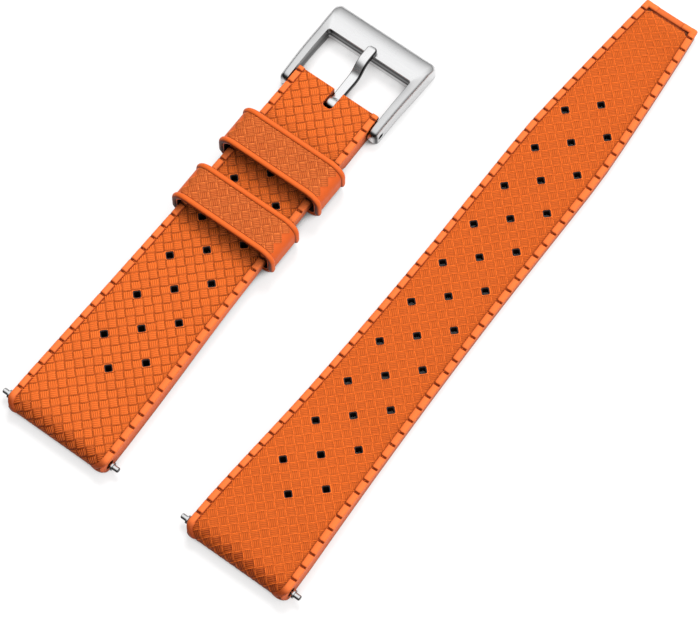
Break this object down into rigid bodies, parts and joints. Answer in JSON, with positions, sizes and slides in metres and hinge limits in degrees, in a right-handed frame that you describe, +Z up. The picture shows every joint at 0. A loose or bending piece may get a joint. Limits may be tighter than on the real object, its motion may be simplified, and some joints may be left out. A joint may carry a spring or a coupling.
{
  "type": "rubber watch strap",
  "caption": "Moulded rubber watch strap in two halves with a woven face, rows of square holes, two loose keepers, a steel pin buckle and sprung lug bars.",
  "frame": {"origin": "middle of the part's footprint, on the plane the halves lie on", "axes": "+X across the halves from the short one to the long one, +Y from the watch ends to the tips, +Z up out of the woven faces"},
  "size_m": [0.0584, 0.1196, 0.0068],
  "materials": {
    "orange_rubber": "matte",
    "satin_steel": "satin",
    "bar_steel": "satin"
  },
  "bodies": {
    "short_half": {"short_strap": "orange_rubber"},
    "upper_keeper": {"upper_keeper": "orange_rubber"},
    "lower_keeper": {"lower_keeper": "orange_rubber"},
    "buckle_frame": {"buckle_frame": "satin_steel"},
    "buckle_tang": {"buckle_tang": "satin_steel"},
    "long_half": {"long_strap": "orange_rubber"},
    "buckle_bar": {"buckle_bar_tube": "bar_steel", "buckle_bar_spring": "bar_steel"},
    "buckle_bar_tip_left": {"buckle_bar_tip_left": "bar_steel"},
    "buckle_bar_tip_right": {"buckle_bar_tip_right": "bar_steel"},
    "short_lug_bar": {"short_lug_bar_tube": "bar_steel", "short_lug_bar_spring": "bar_steel"},
    "short_lug_bar_tip_left": {"short_lug_bar_tip_left": "bar_steel"},
    "short_lug_bar_tip_right": {"short_lug_bar_tip_right": "bar_steel"},
    "long_lug_bar": {"long_lug_bar_tube": "bar_steel", "long_lug_bar_spring": "bar_steel"},
    "long_lug_bar_tip_left": {"long_lug_bar_tip_left": "bar_steel"},
    "long_lug_bar_tip_right": {"long_lug_bar_tip_right": "bar_steel"}
  },
  "joints": [
    {"name": "upper_keeper_slide", "type": "slide", "parent": "short_half", "child": "upper_keeper", "axis": [0, 1, 0], "range_m": [-0.0024, 0.0005]},
    {"name": "lower_keeper_slide", "type": "slide", "parent": "short_half", "child": "lower_keeper", "axis": [0, 1, 0], "range_m": [-0.0006, 0.0022]},
    {"name": "buckle_hinge", "type": "hinge", "parent": "short_half", "child": "buckle_frame", "pos_m": [-0.0177, 0.0133, 0.0016], "axis": [1, 0, 0], "range_deg": [-110, 35]},
    {"name": "tang_hinge", "type": "hinge", "parent": "buckle_frame", "child": "buckle_tang", "pos_m": [-0.0177, 0.0133, 0.0016], "axis": [1, 0, 0], "range_deg": [0, 80]},
    {"name": "buckle_bar_turn", "type": "hinge", "parent": "short_half", "child": "buckle_bar", "pos_m": [-0.0177, 0.0133, 0.0016], "axis": [1, 0, 0], "continuous": true},
    {"name": "short_lug_bar_turn", "type": "hinge", "parent": "short_half", "child": "short_lug_bar", "pos_m": [-0.0177, -0.0579, 0.0016], "axis": [1, 0, 0], "continuous": true},
    {"name": "long_half_lift", "type": "slide", "parent": "short_half", "child": "long_half", "axis": [0, 0, 1], "range_m": [0, 0.04]},
    {"name": "long_lug_bar_turn", "type": "hinge", "parent": "long_half", "child": "long_lug_bar", "pos_m": [0.0177, -0.0579, 0.0016], "axis": [1, 0, 0], "continuous": true},
    {"name": "buckle_bar_tip_left_press", "type": "slide", "parent": "buckle_bar", "child": "buckle_bar_tip_left", "axis": [1, 0, 0], "range_m": [0, 0.0015], "stiffness_N_per_m": 600, "springref_m": -0.001, "deforming": ["buckle_bar_spring"]},
    {"name": "buckle_bar_tip_right_press", "type": "slide", "parent": "buckle_bar", "child": "buckle_bar_tip_right", "axis": [-1, 0, 0], "range_m": [0, 0.0015], "stiffness_N_per_m": 600, "springref_m": -0.001, "deforming": ["buckle_bar_spring"]},
    {"name": "short_lug_bar_tip_left_press", "type": "slide", "parent": "short_lug_bar", "child": "short_lug_bar_tip_left", "axis": [1, 0, 0], "range_m": [0, 0.0015], "stiffness_N_per_m": 600, "springref_m": -0.001, "deforming": ["short_lug_bar_spring"]},
    {"name": "short_lug_bar_tip_right_press", "type": "slide", "parent": "short_lug_bar", "child": "short_lug_bar_tip_right", "axis": [-1, 0, 0], "range_m": [0, 0.0015], "stiffness_N_per_m": 600, "springref_m": -0.001, "deforming": ["short_lug_bar_spring"]},
    {"name": "long_lug_bar_tip_left_press", "type": "slide", "parent": "long_lug_bar", "child": "long_lug_bar_tip_left", "axis": [1, 0, 0], "range_m": [0, 0.0015], "stiffness_N_per_m": 600, "springref_m": -0.001, "deforming": ["long_lug_bar_spring"]},
    {"name": "long_lug_bar_tip_right_press", "type": "slide", "parent": "long_lug_bar", "child": "long_lug_bar_tip_right", "axis": [-1, 0, 0], "range_m": [0, 0.0015], "stiffness_N_per_m": 600, "springref_m": -0.001, "deforming": ["long_lug_bar_spring"]}
  ]
}
